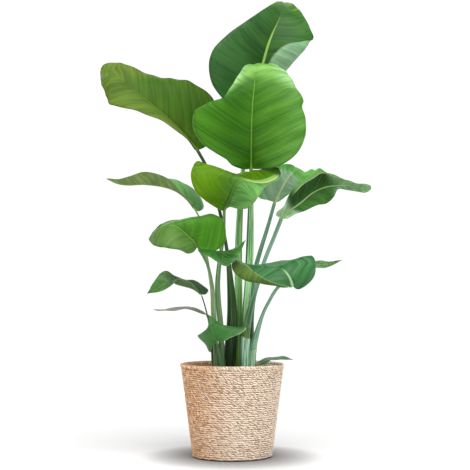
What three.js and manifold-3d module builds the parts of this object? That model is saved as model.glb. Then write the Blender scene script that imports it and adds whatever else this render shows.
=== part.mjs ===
// Potted bird of paradise (Strelitzia nicolai) in a woven seagrass basket.
// Millimetres, +Z up. The basket stands on z = 0 with its axis on Z, and the plant's front looks along -Y.
import * as THREE from 'three';
import Module from 'manifold-3d';

const wasm = await Module();
wasm.setup();

// Sizes that drive the model.
const basketHeight = 250;
const basketTopRadius = 140;
const basketFootRadius = 107;
const basketWall = 9;
const basketFootRound = 9;
const cordRows = 37;
const cordBulge = 1.3;
const rimHeight = 6;
const potHeight = 222;
const potTopRadius = 124;
const potFootRadius = 91;
const potWall = 2;
const potLip = 4;
const soilTop = 228;
const holeDepth = 28;
const seatGap = 0.3;
const holeGap = 0.5;
const bladeEdge = 1.4;
const keelDepth = 3.2;
const camber = 0.06;
const ribStart = 4;
const grooveReach = 0.72;
const sheathShare = 0.4;
const roundSteps = 32;

const colours = {
  seagrass: { color: 0xd9b48a, roughness: 0.85 },
  pot: { color: 0x3a2c24, roughness: 0.5 },
  soil: { color: 0x2b1d14, roughness: 1 },
  blade: { color: 0x3f7a2a, roughness: 0.4 },
  stalk: { color: 0x5f9468, roughness: 0.45 },
};

// Every leaf: its foot in the soil, the stalk's radius at foot and blade, the shares of the stalk between which
// it thins, the stalk's route, the midrib from base to tip, and the left and right edges of the blade as seen from its upper side. A fold line is where a
// half of the blade turns over.
const leaves = [
  {
    name: 'top_leaf',
    foot: [18, 20],
    girth: [11, 4.6],
    stalk: [[17, 26, 388], [17, 40, 583], [29, 75, 783]],
    midrib: [[49, 105, 951], [69, 100, 1029], [86, 106, 1097], [101, 114, 1149], [114, 122, 1182],
      [130, 136, 1217], [142, 162, 1251], [148, 204, 1283], [153, 262, 1302]],
    left: [[31, 92, 929], [-15, 62, 968], [-56, 48, 1020], [-66, 45, 1070], [-56, 52, 1114],
      [-20, 66, 1158], [21, 82, 1193], [69, 105, 1231], [107, 140, 1264], [134, 196, 1289]],
    right: [[66, 80, 947], [98, 40, 997], [98, 15, 1070], [139, 20, 1121], [191, 50, 1140],
      [225, 75, 1152], [220, 110, 1191], [204, 146, 1235], [186, 186, 1270], [168, 232, 1294]],
    rightFold: [[60, 90, 971], [108, 78, 1016], [163, 62, 1076], [202, 72, 1128], [206, 98, 1163],
      [191, 130, 1213], [172, 172, 1255], [159, 228, 1289]],
  },
  {
    name: 'front_leaf',
    foot: [37, 10],
    girth: [10, 4.8],
    stalk: [[37, 5, 389], [49, 2, 541], [52, 2, 666]],
    midrib: [[51, -24, 776], [51, -62, 853], [52, -80, 907], [55, -86, 957], [59, -80, 995],
      [61, -62, 1031], [67, -34, 1063], [84, 10, 1052]],
    left: [[31, -36, 774], [-4, -62, 784], [-41, -82, 810], [-81, -92, 838], [-104, -96, 878],
      [-103, -94, 913], [-97, -93, 927], [-78, -91, 939], [-54, -90, 949], [-37, -89, 950],
      [-23, -86, 961], [-5, -78, 989], [16, -66, 1025], [41, -46, 1057]],
    right: [[72, -38, 774], [125, -74, 779], [171, -92, 810], [193, -98, 855], [195, -97, 899],
      [186, -92, 936], [190, -87, 952], [172, -74, 988], [153, -58, 1025], [131, -42, 1050],
      [105, -22, 1065]],
  },
  {
    name: 'left_leaf',
    foot: [-11, 14],
    girth: [15, 4.6],
    taper: [0.2, 0.62],
    stalk: [[-1, 2, 372], [-5, 3, 462], [-16, 6, 563], [-37, 12, 672], [-70, 20, 783]],
    midrib: [[-96, 24, 832], [-122, 18, 866], [-167, 5, 912], [-222, -8, 958], [-283, -14, 1005],
      [-329, -8, 1035], [-357, 8, 1035], [-366, 40, 1037]],
    left: [[-111, 12, 848], [-142, -38, 872], [-185, -78, 897], [-229, -92, 915], [-278, -80, 932],
      [-315, -64, 942], [-331, -54, 948], [-340, -42, 969], [-352, -20, 996], [-361, 8, 1019]],
    right: [[-73, 44, 847], [-43, 72, 912], [-52, 78, 982], [-88, 70, 1013], [-124, 62, 1032],
      [-169, 55, 1037], [-213, 48, 1042], [-254, 42, 1056], [-301, 34, 1075], [-347, 30, 1075],
      [-364, 36, 1063]],
  },
  {
    name: 'narrow_leaf',
    foot: [-43, 12],
    girth: [5.5, 2.8],
    stalk: [[-49, 6, 389], [-60, 0, 481], [-74, -8, 565], [-89, -16, 643]],
    midrib: [[-102, -20, 668], [-123, -28, 694], [-150, -40, 714], [-182, -52, 725], [-236, -64, 731],
      [-279, -68, 729], [-308, -66, 733], [-337, -62, 747]],
    left: [[-113, -42, 685], [-130, -68, 703], [-152, -88, 727], [-173, -100, 744], [-198, -106, 756],
      [-225, -106, 760], [-260, -98, 755], [-288, -88, 745], [-313, -74, 745]],
    right: [[-94, -8, 662], [-78, 14, 673], [-84, 26, 698], [-106, 24, 723], [-125, 10, 738],
      [-159, -8, 749], [-202, -24, 754], [-259, -44, 748], [-306, -58, 743]],
  },
  {
    name: 'centre_leaf',
    foot: [-28, -2],
    girth: [8, 4.2],
    stalk: [[-32, -6, 351], [-38, -9, 413], [-40, -12, 462], [-35, -16, 524], [-24, -26, 600]],
    midrib: [[-22, -46, 659], [-13, -66, 679], [-3, -88, 700], [6, -104, 721], [17, -112, 737],
      [39, -108, 736], [63, -100, 732], [87, -90, 732], [108, -76, 740], [126, -58, 756],
      [124, -40, 777]],
    left: [[-41, -60, 666], [-73, -86, 685], [-98, -102, 710], [-110, -100, 747], [-106, -86, 775],
      [-92, -68, 792], [-65, -56, 780], [-36, -48, 765], [-1, -44, 762], [37, -40, 767],
      [75, -34, 775], [104, -30, 784]],
    right: [[-10, -62, 669], [12, -90, 663], [39, -112, 663], [57, -122, 677], [71, -124, 697],
      [83, -118, 717], [98, -104, 728], [115, -84, 738], [130, -62, 757]],
  },
  {
    name: 'back_leaf',
    foot: [50, 23],
    girth: [7.5, 5.0],
    stalk: [[51, 24, 388], [55, 28, 468], [70, 34, 533], [100, 48, 631]],
    midrib: [[117, 58, 691], [131, 58, 722], [143, 62, 744], [158, 72, 765], [179, 105, 783],
      [210, 150, 782]],
    left: [[129, 66, 694], [153, 88, 713], [179, 112, 727], [215, 138, 749], [244, 150, 776],
      [228, 160, 793]],
    right: [[100, 50, 696], [73, 32, 703], [67, 22, 734], [87, 30, 770], [126, 52, 793],
      [155, 82, 801], [183, 120, 795]],
  },
  {
    name: 'right_leaf',
    foot: [33, -16],
    girth: [12, 5.6],
    taper: [0.2, 0.62],
    stalk: [[37, -19, 333], [47, -20, 389], [64, -14, 454], [87, 0, 527], [115, 12, 596]],
    midrib: [[134, 20, 644], [155, 26, 668], [185, 30, 689], [219, 32, 717], [251, 32, 732],
      [288, 30, 738], [318, 26, 738], [348, 22, 730], [381, 18, 728]],
    left: [[150, 30, 644], [174, 46, 658], [201, 58, 667], [237, 68, 685], [263, 72, 689],
      [281, 68, 707], [294, 56, 727], [314, 42, 725], [341, 34, 719], [366, 28, 716], [378, 22, 722]],
    right: [[118, 4, 653], [122, -3, 663], [139, -10, 677], [151, -26, 701], [182, -42, 739],
      [213, -44, 759], [235, -38, 777], [258, -30, 765], [284, -18, 758], [308, -6, 749],
      [338, 6, 741], [364, 12, 739], [378, 16, 735]],
  },
  {
    name: 'side_leaf',
    foot: [-47, -7],
    girth: [7, 3.6],
    stalk: [[-51, -26, 389], [-55, -36, 459], [-65, -44, 510], [-80, -54, 547]],
    midrib: [[-93, -66, 564], [-105, -74, 581], [-127, -82, 601], [-151, -88, 618], [-184, -82, 620],
      [-210, -64, 604], [-225, -48, 586]],
    left: [[-103, -88, 549], [-118, -108, 544], [-139, -124, 553], [-171, -126, 558],
      [-199, -108, 563], [-218, -74, 574]],
    right: [[-75, -78, 549], [-45, -70, 553], [-22, -62, 572], [-17, -60, 603], [-26, -62, 637],
      [-52, -60, 651], [-81, -54, 648], [-116, -48, 641], [-154, -44, 637], [-184, -46, 629],
      [-209, -54, 608]],
  },
  {
    name: 'boat_leaf',
    foot: [-41, -22],
    girth: [5, 2.8],
    stalk: [[-48, -44, 390], [-53, -58, 459], [-65, -74, 510], [-78, -88, 538]],
    midrib: [[-89, -98, 555], [-67, -112, 552], [-40, -124, 548], [-14, -130, 548], [12, -128, 560],
      [35, -120, 580]],
    left: [[-86, -88, 558], [-59, -80, 554], [-27, -80, 550], [2, -92, 555], [23, -108, 569]],
    right: [[-84, -112, 547], [-59, -138, 534], [-38, -154, 520], [-16, -162, 510], [1, -160, 520],
      [15, -148, 538], [27, -134, 559]],
  },
  {
    name: 'low_right_leaf',
    foot: [53, -27],
    girth: [8.5, 4.6],
    taper: [0.3, 0.6],
    stalk: [[57, -32, 294], [71, -48, 353], [85, -60, 393], [98, -70, 419], [112, -82, 444],
      [128, -106, 461]],
    midrib: [[156, -132, 459], [153, -138, 477], [142, -134, 495], [129, -122, 506], [102, -108, 508],
      [68, -98, 509], [37, -94, 518], [8, -90, 530]],
    left: [[139, -142, 459], [113, -158, 466], [82, -172, 479], [53, -172, 498], [39, -156, 512],
      [20, -126, 522]],
    right: [[171, -126, 450], [198, -116, 463], [218, -102, 488], [220, -92, 515], [212, -78, 540],
      [178, -62, 532], [146, -54, 529], [117, -51, 522], [87, -54, 507], [52, -62, 500], [26, -76, 510]],
    leftFold: [[142, -140, 455], [113, -152, 462], [77, -160, 468], [35, -160, 474], [7, -146, 493],
      [-1, -118, 515]],
  },
  {
    name: 'twisted_leaf',
    foot: [-53, -26],
    girth: [3, 1.9],
    stalk: [[-55, -34, 293], [-60, -52, 355], [-66, -60, 379], [-74, -72, 411]],
    midrib: [[-82, -84, 436], [-104, -90, 452], [-127, -96, 459], [-146, -100, 464], [-161, -104, 471],
      [-179, -108, 464], [-200, -110, 451], [-224, -110, 439]],
    left: [[-89, -102, 447], [-108, -120, 466], [-129, -132, 477], [-145, -138, 478],
      [-156, -138, 463], [-175, -132, 449], [-198, -122, 443]],
    right: [[-69, -72, 438], [-63, -62, 449], [-78, -60, 461], [-102, -66, 474], [-128, -76, 478],
      [-153, -86, 486], [-174, -94, 499], [-191, -100, 492], [-206, -106, 470]],
  },
  {
    name: 'thin_leaf',
    foot: [-54, 9],
    girth: [3, 2.0],
    stalk: [[-54, -2, 291], [-62, -12, 346], [-66, -18, 373]],
    midrib: [[-71, -22, 383], [-89, -28, 394], [-114, -34, 401], [-151, -40, 400], [-186, -44, 395],
      [-213, -46, 397]],
    left: [[-79, -38, 384], [-100, -58, 393], [-126, -68, 397], [-160, -68, 394], [-193, -58, 393]],
    right: [[-74, -8, 387], [-94, 10, 395], [-121, 16, 400], [-156, 8, 399], [-188, -14, 394]],
  },
  {
    name: 'folded_leaf',
    foot: [-29, -24],
    girth: [5, 2.6],
    stalk: [[-34, -48, 272], [-38, -62, 296]],
    midrib: [[-41, -76, 312], [-50, -82, 332], [-58, -80, 356], [-64, -68, 384]],
    left: [[-53, -66, 296], [-61, -52, 282], [-75, -38, 304], [-93, -30, 326], [-74, -38, 324],
      [-60, -56, 341]],
    right: [[-22, -92, 314], [-4, -100, 324], [20, -98, 333], [36, -88, 347], [12, -78, 351],
      [-19, -72, 351], [-42, -68, 368]],
  },
  {
    name: 'rim_leaf',
    foot: [64, -38],
    girth: [3.4, 2.2],
    stalk: [[58, -50, 242]],
    midrib: [[67, -58, 251], [79, -64, 258], [95, -68, 265], [113, -70, 265], [134, -68, 266],
      [161, -62, 264]],
    left: [[66, -48, 255], [82, -40, 264], [98, -38, 268], [119, -40, 271], [140, -50, 271]],
    right: [[73, -74, 250], [89, -84, 255], [103, -86, 263], [123, -82, 266], [145, -72, 265]],
  },
  {
    name: 'young_leaf',
    foot: [61, 14],
    girth: [4, 2.2],
    stalk: [[55, 12, 372], [65, 11, 443], [83, 12, 484], [116, 10, 503]],
    midrib: [[151, 6, 510], [184, 2, 516], [222, 0, 518], [260, 0, 519], [298, 0, 530]],
    left: [[160, 22, 519], [186, 34, 527], [227, 28, 529], [266, 12, 527]],
    right: [[159, -10, 503], [185, -24, 504], [226, -24, 508], [262, -12, 511]],
  },
];

// The rolled young leaf, still a spear, between the tall stalks.
const spear = {
  name: 'spear_leaf',
  route: [[31, 38, 200], [31, 38, 218], [35, 40, 389], [43, 34, 600], [50, 24, 760], [56, 24, 850],
    [66, 30, 950]],
  radii: [[0, 5], [0.45, 4.4], [0.72, 3.2], [0.82, 6.5], [0.93, 5], [1, 0.8]],
};

// Cut edges: where along an edge a tear sits, how wide it is and how deep it goes.
const tears = {
  front_leaf: { left: [[0.17, 0.05, 7]] },
};

const point = ([x, y, z]) => new THREE.Vector3(x, y, z);
const curveThrough = (points) => new THREE.CatmullRomCurve3(points, false, 'centripetal');
const clamp = THREE.MathUtils.clamp;

function toSolid(vertices, triangles) {
  const mesh = new wasm.Mesh({
    numProp: 3,
    vertProperties: new Float32Array(vertices),
    triVerts: new Uint32Array(triangles),
  });
  return new wasm.Manifold(mesh);
}

function toGeometry(solid) {
  const mesh = solid.getMesh();
  const geometry = new THREE.BufferGeometry();
  geometry.setAttribute('position', new THREE.BufferAttribute(mesh.vertProperties, 3));
  geometry.setIndex(new THREE.BufferAttribute(mesh.triVerts, 1));
  return geometry;
}

function toMesh(name, geometry, finish) {
  geometry.computeVertexNormals();
  const mesh = new THREE.Mesh(geometry, new THREE.MeshStandardMaterial({ ...finish, metalness: 0 }));
  mesh.name = name;
  return mesh;
}

// A closed profile [radius, height] turned about Z.
function turned(profile) {
  const geometry = new THREE.LatheGeometry(profile.map(([r, h]) => new THREE.Vector2(r, h)), roundSteps);
  geometry.rotateX(Math.PI / 2);
  return geometry;
}

const basketRadius = (height) =>
  THREE.MathUtils.lerp(basketFootRadius, basketTopRadius, height / basketHeight);

// Rows of cord stand out of the basket's wall from the rounded foot up to the rim.
function basketProfile() {
  const firstRow = basketFootRound;
  const lastRow = basketHeight - rimHeight;
  const pitch = (lastRow - firstRow) / cordRows;
  const outside = [[0, 0], [basketFootRadius - basketFootRound, 0], [basketFootRadius - 3, 2.6]];
  for (let row = 0; row < cordRows; row += 1) {
    const low = firstRow + row * pitch;
    const middle = low + pitch / 2;
    outside.push([basketRadius(low) - cordBulge, low]);
    outside.push([basketRadius(middle), middle]);
  }
  const inside = basketTopRadius - basketWall;
  const rim = [
    [basketTopRadius - 2, lastRow],
    [basketTopRadius, basketHeight - 4],
    [basketTopRadius - 0.6, basketHeight - 1.5],
    [basketTopRadius - 2.5, basketHeight],
    [inside + 2, basketHeight],
    [inside, basketHeight - 3],
  ];
  const cavity = [[basketRadius(basketWall) - basketWall, basketWall], [0, basketWall]];
  return [...outside, ...rim, ...cavity];
}

const potFoot = basketWall + seatGap;
const potRadius = (height) =>
  THREE.MathUtils.lerp(potFootRadius, potTopRadius, (height - potFoot) / potHeight);

function potProfile() {
  const top = potFoot + potHeight;
  const inside = potTopRadius - potWall;
  return [
    [0, potFoot],
    [potFootRadius, potFoot],
    [potRadius(top - 8), top - 8],
    [potTopRadius + potLip - 1, top - 7],
    [potTopRadius + potLip, top - 1],
    [potTopRadius + potLip - 1, top],
    [inside, top],
    [potFootRadius - potWall, potFoot + potWall],
    [0, potFoot + potWall],
  ];
}

function soilSolid(stalkHoles) {
  const foot = potFoot + potWall + seatGap;
  const gap = potWall + seatGap;
  const profile = [
    [0, foot],
    [potRadius(foot) - gap - 0.2, foot],
    [potRadius(soilTop - 4) - gap - 0.2, soilTop - 4],
    [96, soilTop - 1],
    [0, soilTop],
  ];
  let soil = latheSolid(profile);
  for (const hole of stalkHoles) {
    soil = soil.subtract(hole);
  }
  return soil;
}

// The same turned shape as a solid that can be cut.
function latheSolid(profile) {
  const vertices = [];
  const triangles = [];
  const ring = profile.slice(1, -1);
  vertices.push(0, 0, profile[0][1], 0, 0, profile[profile.length - 1][1]);
  for (const [radius, height] of ring) {
    for (let step = 0; step < roundSteps; step += 1) {
      const turn = (step / roundSteps) * 2 * Math.PI;
      vertices.push(radius * Math.cos(turn), radius * Math.sin(turn), height);
    }
  }
  const at = (row, step) => 2 + row * roundSteps + (step % roundSteps);
  for (let step = 0; step < roundSteps; step += 1) {
    triangles.push(0, at(0, step + 1), at(0, step));
    for (let row = 0; row < ring.length - 1; row += 1) {
      triangles.push(at(row, step), at(row, step + 1), at(row + 1, step + 1));
      triangles.push(at(row, step), at(row + 1, step + 1), at(row + 1, step));
    }
    triangles.push(1, at(ring.length - 1, step), at(ring.length - 1, step + 1));
  }
  return toSolid(vertices, triangles);
}

// A round bar along a route, with the radius given by girth(share of the length). Its groove faces `upward`.
function barSolid(curve, { from = 0, to = 1, steps, girth, upward, grow = 0 }) {
  const sides = 8;
  const vertices = [];
  const triangles = [];
  for (let step = 0; step <= steps; step += 1) {
    const share = THREE.MathUtils.lerp(from, to, step / steps);
    const centre = curve.getPointAt(share);
    const along = curve.getTangentAt(share);
    const up = upward.clone().addScaledVector(along, -upward.dot(along)).normalize();
    const across = new THREE.Vector3().crossVectors(along, up);
    const radius = girth(share) + grow;
    for (let side = 0; side < sides; side += 1) {
      const turn = (side / sides) * 2 * Math.PI;
      const reach = side === 0 ? radius * grooveReach : radius;
      const corner = centre.clone();
      corner.addScaledVector(up, reach * Math.cos(turn));
      corner.addScaledVector(across, reach * Math.sin(turn));
      vertices.push(corner.x, corner.y, corner.z);
    }
  }
  const at = (step, side) => step * sides + (side % sides);
  for (let side = 0; side < sides; side += 1) {
    for (let step = 0; step < steps; step += 1) {
      triangles.push(at(step, side), at(step, side + 1), at(step + 1, side + 1));
      triangles.push(at(step, side), at(step + 1, side + 1), at(step + 1, side));
    }
  }
  for (let side = 1; side < sides - 1; side += 1) {
    triangles.push(at(0, 0), at(0, side + 1), at(0, side));
    triangles.push(at(steps, 0), at(steps, side), at(steps, side + 1));
  }
  return toSolid(vertices, triangles);
}

function stalkRoute(leaf) {
  const [x, y] = leaf.foot;
  const low = soilTop - holeDepth;
  const standing = [[x, y, low], [x, y, low + 18]];
  return curveThrough([...standing, ...leaf.stalk, leaf.midrib[0]].map(point));
}

// A stalk keeps the width of its sheath over its lower part and then thins to the blade.
const stalkGirth = ({ girth: [low, high], taper = [sheathShare, 1] }) => (share) =>
  high + (low - high) * (1 - THREE.MathUtils.smoothstep(share, ...taper));

// A deeper, slightly fatter copy of the same stalk cuts its hole in the soil.
function stalkSolid(leaf, upward, grow = 0) {
  const route = stalkRoute(leaf);
  const length = route.getLength();
  const options = {
    from: grow ? 0 : seatGap / length,
    to: 1 - (ribStart + seatGap) / length,
    steps: clamp(Math.round(length / 55), 5, 16),
    girth: stalkGirth(leaf),
    upward,
    grow,
  };
  return barSolid(route, options);
}

const tearDepth = (cuts, share) =>
  cuts.reduce((depth, [place, width, deepest]) =>
    Math.max(depth, deepest * (1 - Math.abs(share - place) / width)), 0);

// Points of one half of a blade: rows from base to tip, columns from midrib to edge.
function halfRows(leaf, side, rows, columns) {
  const midrib = curveThrough(leaf.midrib.map(point));
  const base = leaf.midrib[0];
  const tip = leaf.midrib[leaf.midrib.length - 1];
  const rim = curveThrough([base, ...leaf[side], tip].map(point));
  const foldPoints = leaf[`${side}Fold`];
  const fold = foldPoints && curveThrough([base, ...foldPoints, tip].map(point));
  const cuts = (tears[leaf.name] ?? {})[side] ?? [];
  const lift = side === 'left' ? camber : -camber;
  const grid = [];
  for (let row = 0; row <= rows; row += 1) {
    const share = row / rows;
    const eased = 0.35 * share + 0.65 * (1 - Math.cos(Math.PI * share)) / 2;
    const inner = midrib.getPointAt(eased);
    const outer = rim.getPointAt(share);
    const width = outer.clone().sub(inner);
    outer.addScaledVector(width.clone().normalize(), -tearDepth(cuts, share));
    width.subVectors(outer, inner);
    const bulge = new THREE.Vector3().crossVectors(midrib.getTangentAt(eased), width).multiplyScalar(lift);
    const line = [];
    for (let column = 0; column <= columns; column += 1) {
      const v = column / columns;
      const place = new THREE.Vector3();
      if (fold) {
        place.addScaledVector(inner, 2 * (v - 0.5) * (v - 1));
        place.addScaledVector(fold.getPointAt(share), 4 * v * (1 - v));
        place.addScaledVector(outer, 2 * v * (v - 0.5));
      } else {
        place.addScaledVector(inner, 1 - v).addScaledVector(outer, v).addScaledVector(bulge, 4 * v * (1 - v));
      }
      line.push(place);
    }
    grid.push(line);
  }
  return grid;
}

// Both halves in one grid, from the left edge over the midrib to the right edge.
function bladeRows(leaf, rows, columns) {
  const left = halfRows(leaf, 'left', rows, columns);
  const right = halfRows(leaf, 'right', rows, columns);
  return left.map((line, row) => [...line.slice(1).reverse(), ...right[row]]);
}

function upNormals(grid) {
  const last = grid.length - 1;
  return grid.map((line, row) => line.map((place, column) => {
    const near = clamp(row, 1, last - 1);
    const forward = grid[near + 1][column].clone().sub(grid[near - 1][column]);
    const from = grid[near][Math.max(column - 1, 0)];
    const to = grid[near][Math.min(column + 1, line.length - 1)];
    const across = to.clone().sub(from);
    return across.cross(forward).normalize();
  }));
}

// A thin closed sheet between the upper points and the same points set down by its thickness.
function bladeSheet(leaf, rows, columns) {
  const upper = bladeRows(leaf, rows, columns);
  const normals = upNormals(upper);
  const wide = 2 * columns + 1;
  const vertices = [];
  const top = [];
  const under = [];
  const add = (place) => vertices.push(place.x, place.y, place.z) / 3 - 1;
  for (let row = 0; row <= rows; row += 1) {
    const pole = row === 0 || row === rows;
    const topLine = [];
    const underLine = [];
    for (let column = 0; column < wide; column += 1) {
      if (pole && column > 0) {
        topLine.push(topLine[0]);
        underLine.push(underLine[0]);
        continue;
      }
      const source = pole ? columns : column;
      const keel = source === columns && !pole ? keelDepth * (1 - row / rows) : 0;
      const below = upper[row][source].clone().addScaledVector(normals[row][source], -bladeEdge - keel);
      topLine.push(add(upper[row][source]));
      underLine.push(add(below));
    }
    top.push(topLine);
    under.push(underLine);
  }
  const triangles = [];
  const face = (a, b, c) => {
    if (a !== b && b !== c && a !== c) triangles.push(a, b, c);
  };
  for (let row = 0; row < rows; row += 1) {
    for (let column = 0; column < wide - 1; column += 1) {
      face(top[row][column], top[row][column + 1], top[row + 1][column + 1]);
      face(top[row][column], top[row + 1][column + 1], top[row + 1][column]);
      face(under[row][column], under[row + 1][column + 1], under[row][column + 1]);
      face(under[row][column], under[row + 1][column], under[row + 1][column + 1]);
    }
    const edge = wide - 1;
    face(top[row][0], top[row + 1][0], under[row + 1][0]);
    face(top[row][0], under[row + 1][0], under[row][0]);
    face(top[row][edge], under[row + 1][edge], top[row + 1][edge]);
    face(top[row][edge], under[row][edge], under[row + 1][edge]);
  }
  return toSolid(vertices, triangles);
}

// The upper side's direction where the stalk meets the blade.
function bladeUpward(leaf) {
  const grid = bladeRows(leaf, 12, 2);
  return upNormals(grid)[2][2];
}

// The stalk's end runs on under the blade as a short, thinning rib.
function ribStub(leaf, upward) {
  const route = stalkRoute(leaf);
  const midrib = curveThrough(leaf.midrib.map(point));
  const thick = leaf.girth[1];
  const lastShare = ribStart / route.getLength();
  const start = route.getPointAt(1 - lastShare);
  const halfway = route.getPointAt(1 - lastShare / 2);
  const under = (share, depth) => midrib.getPointAt(share).addScaledVector(upward, -depth * thick);
  const path = curveThrough([start, halfway, under(0, 0), under(0.06, 0.5), under(0.14, 0.45)]);
  return barSolid(path, { steps: 4, girth: (share) => thick * (1 - 0.6 * share), upward });
}

function bladeSolid(leaf, upward) {
  const large = leaf.girth[0] > 7.5;
  const sheet = bladeSheet(leaf, large ? 13 : 10, large ? 4 : 3);
  return sheet.add(ribStub(leaf, upward));
}

function spearSolid(grow = 0) {
  const curve = curveThrough(spear.route.map(point));
  const girth = (share) => {
    const next = Math.max(1, spear.radii.findIndex(([place]) => place >= share));
    const [a, ra] = spear.radii[next - 1];
    const [b, rb] = spear.radii[next];
    return THREE.MathUtils.lerp(ra, rb, clamp((share - a) / (b - a), 0, 1));
  };
  const from = grow ? 0 : seatGap / curve.getLength();
  return barSolid(curve, { from, steps: 20, girth, upward: new THREE.Vector3(0, -1, 0), grow });
}

const plant = new THREE.Group();
const holes = [spearSolid(holeGap)];
plant.add(toMesh('basket', turned(basketProfile()), colours.seagrass));
plant.add(toMesh('grow_pot', turned(potProfile()), colours.pot));
for (const leaf of leaves) {
  const upward = bladeUpward(leaf);
  holes.push(stalkSolid(leaf, upward, holeGap));
  plant.add(toMesh(`${leaf.name}_stalk`, toGeometry(stalkSolid(leaf, upward)), colours.stalk));
  plant.add(toMesh(`${leaf.name}_blade`, toGeometry(bladeSolid(leaf, upward)), colours.blade));
}
plant.add(toMesh(spear.name, toGeometry(spearSolid()), colours.stalk));
plant.add(toMesh('soil', toGeometry(soilSolid(holes)), colours.soil));

export default plant;
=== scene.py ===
import math
from types import SimpleNamespace
import bpy
import numpy as np
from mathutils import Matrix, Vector


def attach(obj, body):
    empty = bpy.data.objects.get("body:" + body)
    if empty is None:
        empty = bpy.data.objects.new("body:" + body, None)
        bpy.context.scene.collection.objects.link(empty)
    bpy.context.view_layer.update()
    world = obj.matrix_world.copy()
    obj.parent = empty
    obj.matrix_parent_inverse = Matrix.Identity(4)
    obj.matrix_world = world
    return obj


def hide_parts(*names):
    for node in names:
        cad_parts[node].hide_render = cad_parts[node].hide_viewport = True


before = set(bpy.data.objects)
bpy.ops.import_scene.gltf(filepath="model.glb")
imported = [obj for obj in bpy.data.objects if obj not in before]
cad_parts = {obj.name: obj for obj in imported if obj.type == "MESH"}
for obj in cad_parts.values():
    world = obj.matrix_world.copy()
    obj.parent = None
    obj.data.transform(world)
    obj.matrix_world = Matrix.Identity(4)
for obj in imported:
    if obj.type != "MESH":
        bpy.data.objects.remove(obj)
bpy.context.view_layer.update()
mm = 0.001
curveDetail = 24
print("frame loaded")


# Curves and plain meshes

def smoothCurve(points):
    # an even curve through points in millimetres; curveAt reads it by share of its length
    given = np.array(points, float) * mm
    padded = np.vstack([2 * given[:1] - given[1:2], given, 2 * given[-1:] - given[-2:-1]])
    steps = np.linspace(0, 1, curveDetail, endpoint=False)[:, None]
    pieces = []
    for i in range(len(given) - 1):
        before, start, stop, after = padded[i:i + 4]
        gaps = [max(np.linalg.norm(b - a) ** 0.5, 1e-5)
                for a, b in ((before, start), (start, stop), (stop, after))]
        leave = ((start - before) / gaps[0] - (stop - before) / (gaps[0] + gaps[1])
                 + (stop - start) / gaps[1]) * gaps[1]
        arrive = ((stop - start) / gaps[1] - (after - start) / (gaps[1] + gaps[2])
                  + (after - stop) / gaps[2]) * gaps[1]
        pieces.append(start + leave * steps
                      + (3 * (stop - start) - 2 * leave - arrive) * steps ** 2
                      + (2 * (start - stop) + leave + arrive) * steps ** 3)
    line = np.vstack([*pieces, given[-1:]])
    length = np.concatenate([[0], np.cumsum(np.linalg.norm(np.diff(line, axis=0), axis=1))])
    return {"line": line, "length": length}


def curveAt(curve, shares):
    reach = np.atleast_1d(shares) * curve["length"][-1]
    return np.stack([np.interp(reach, curve["length"], curve["line"][:, k]) for k in range(3)], -1)


def unit(vectors):
    return vectors / np.maximum(np.linalg.norm(vectors, axis=-1, keepdims=True), 1e-12)


def heading(curve, shares, step):
    return unit(curveAt(curve, np.minimum(shares + step, 1)) - curveAt(curve, np.maximum(shares - step, 0)))


def smoothStep(low, high, value):
    t = np.clip((value - low) / (high - low), 0, 1)
    return t * t * (3 - 2 * t)


def linkedObject(name, data):
    made = bpy.data.objects.new(name, data)
    bpy.context.scene.collection.objects.link(made)
    return made


def makePiece(name, points, faces, material, uvs=None, marks=None):
    # marks are float values on the points, read by the materials
    mesh = bpy.data.meshes.new(name)
    mesh.from_pydata([tuple(p) for p in points], [], faces)
    for markName, values in (marks or {}).items():
        layer = mesh.attributes.new(markName, "FLOAT", "POINT")
        layer.data.foreach_set("value", np.asarray(values, np.float32))
    if uvs is not None:
        layer = mesh.uv_layers.new(name="UVMap")
        corners = np.zeros(len(mesh.loops), np.int32)
        mesh.loops.foreach_get("vertex_index", corners)
        layer.data.foreach_set("uv", np.asarray(uvs, np.float32)[corners].ravel())
    mesh.materials.append(material)
    mesh.shade_smooth()
    mesh.validate()
    return linkedObject(name, mesh)


def settle(piece, node):
    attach(piece, "root")
    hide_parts(node)


def ringFaces(low, high, sides):
    # the quads between two rings of points
    return [(low + k, low + (k + 1) % sides, high + (k + 1) % sides, high + k) for k in range(sides)]


def turnedMesh(name, profile, material, segments):
    # a closed profile of (radius, height) turned about Z, its first and last points on the axis
    ring = profile[1:-1]
    turn = np.arange(segments) / segments * 2 * math.pi
    points = [(0, 0, profile[0][1] * mm), (0, 0, profile[-1][1] * mm)]
    for radius, height in ring:
        points += [(radius * mm * math.cos(a), radius * mm * math.sin(a), height * mm) for a in turn]
    last = 2 + (len(ring) - 1) * segments
    faces = [(0, 2 + (k + 1) % segments, 2 + k) for k in range(segments)]
    for low in range(2, last, segments):
        faces += ringFaces(low, low + segments, segments)
    faces += [(1, last + k, last + (k + 1) % segments) for k in range(segments)]
    return makePiece(name, points, faces, material)


# Node trees

class Wire:
    # a node's output; arithmetic on it adds math nodes

    def __init__(self, nodes, socket):
        self.nodes = nodes
        self.socket = socket

    def math(self, operation, *others):
        made = self.nodes.tree.nodes.new("ShaderNodeMath")
        made.operation = operation
        for socket, value in zip(made.inputs, (self, *others)):
            self.nodes.plug(value, socket)
        return Wire(self.nodes, made.outputs[0])

    def __add__(self, other):
        return self.math("ADD", other)

    def __sub__(self, other):
        return self.math("SUBTRACT", other)

    def __mul__(self, other):
        return self.math("MULTIPLY", other)

    def __truediv__(self, other):
        return self.math("DIVIDE", other)

    def __abs__(self):
        return self.math("ABSOLUTE")


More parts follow.
